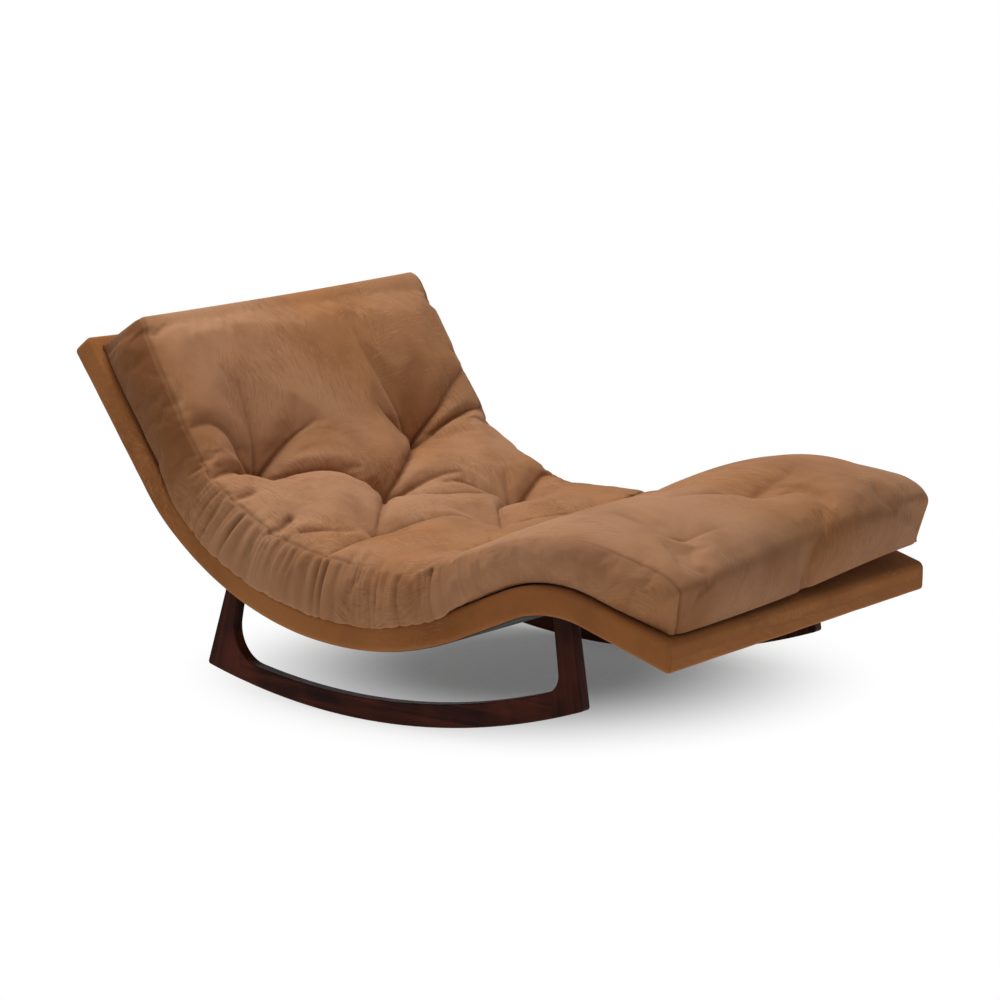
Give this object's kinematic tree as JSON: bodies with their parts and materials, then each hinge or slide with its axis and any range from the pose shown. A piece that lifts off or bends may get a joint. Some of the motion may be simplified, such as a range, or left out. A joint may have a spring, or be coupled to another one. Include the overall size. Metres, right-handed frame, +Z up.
{
  "type": "rocking chaise lounge",
  "caption": "Wide wave-shaped upholstered chaise on two curved walnut rocker frames, with a loose tufted cushion.",
  "frame": {"origin": "on the floor under the middle of the deck, midway between the two rocker frames", "axes": "+X towards the foot end, +Y towards the sitter's left, +Z up"},
  "size_m": [1.6035, 1.01, 0.8214],
  "materials": {
    "walnut": "satin",
    "dowel_beech": "matte",
    "plywood": "matte",
    "pine": "matte",
    "zinc_steel": "satin",
    "foam": "matte",
    "fibre_wrap": "matte",
    "lining": "matte",
    "suede": "matte",
    "strip_tape": "matte",
    "twine": "matte",
    "felt": "matte",
    "zip_cloth": "matte",
    "zip_plastic": "satin",
    "zip_metal": "satin"
  },
  "bodies": {
    "frame": {"centre_rib": "plywood", "deck_bolts": "zinc_steel", "deck_cover": "suede", "deck_foam": "foam", "deck_panel": "plywood", "deck_washers": "zinc_steel", "dust_cover": "lining", "foot_rail": "pine", "front_cross_rail": "pine", "front_stretcher": "walnut", "head_rail": "pine", "hook_strips": "strip_tape", "left_front_post": "walnut", "left_rear_post": "walnut", "left_runner": "walnut", "left_side_rib": "plywood", "rear_cross_rail": "pine", "rear_stretcher": "walnut", "right_front_post": "walnut", "right_rear_post": "walnut", "right_runner": "walnut", "right_side_rib": "plywood", "runner_dowels": "dowel_beech", "stretcher_dowels": "dowel_beech", "tee_nuts": "zinc_steel"},
    "cushion": {"cushion_bottom_panel": "suede", "cushion_core": "foam", "cushion_foot_band": "suede", "cushion_head_band": "suede", "cushion_left_band": "suede", "cushion_right_band": "suede", "cushion_top_panel": "suede", "cushion_wrap": "fibre_wrap", "tuft_ties": "twine", "tuft_anchors": "felt", "zip_tape": "zip_cloth", "zip_chain": "zip_plastic", "loop_strips": "strip_tape"},
    "zip_slider": {"zip_slider": "zip_metal"},
    "zip_pull": {"zip_pull": "zip_metal"}
  },
  "joints": [
    {"name": "cushion_lift", "type": "slide", "parent": "frame", "child": "cushion", "axis": [0, 0, 1], "range_m": [0, 0.3]},
    {"name": "zip_run", "type": "slide", "parent": "cushion", "child": "zip_slider", "axis": [0, 1, 0], "range_m": [0, 0.676]},
    {"name": "zip_pull_swing", "type": "hinge", "parent": "zip_slider", "child": "zip_pull", "pos_m": [-0.68832, -0.338, 0.76987], "axis": [0, 1, 0], "range_deg": [0, 160]}
  ]
}
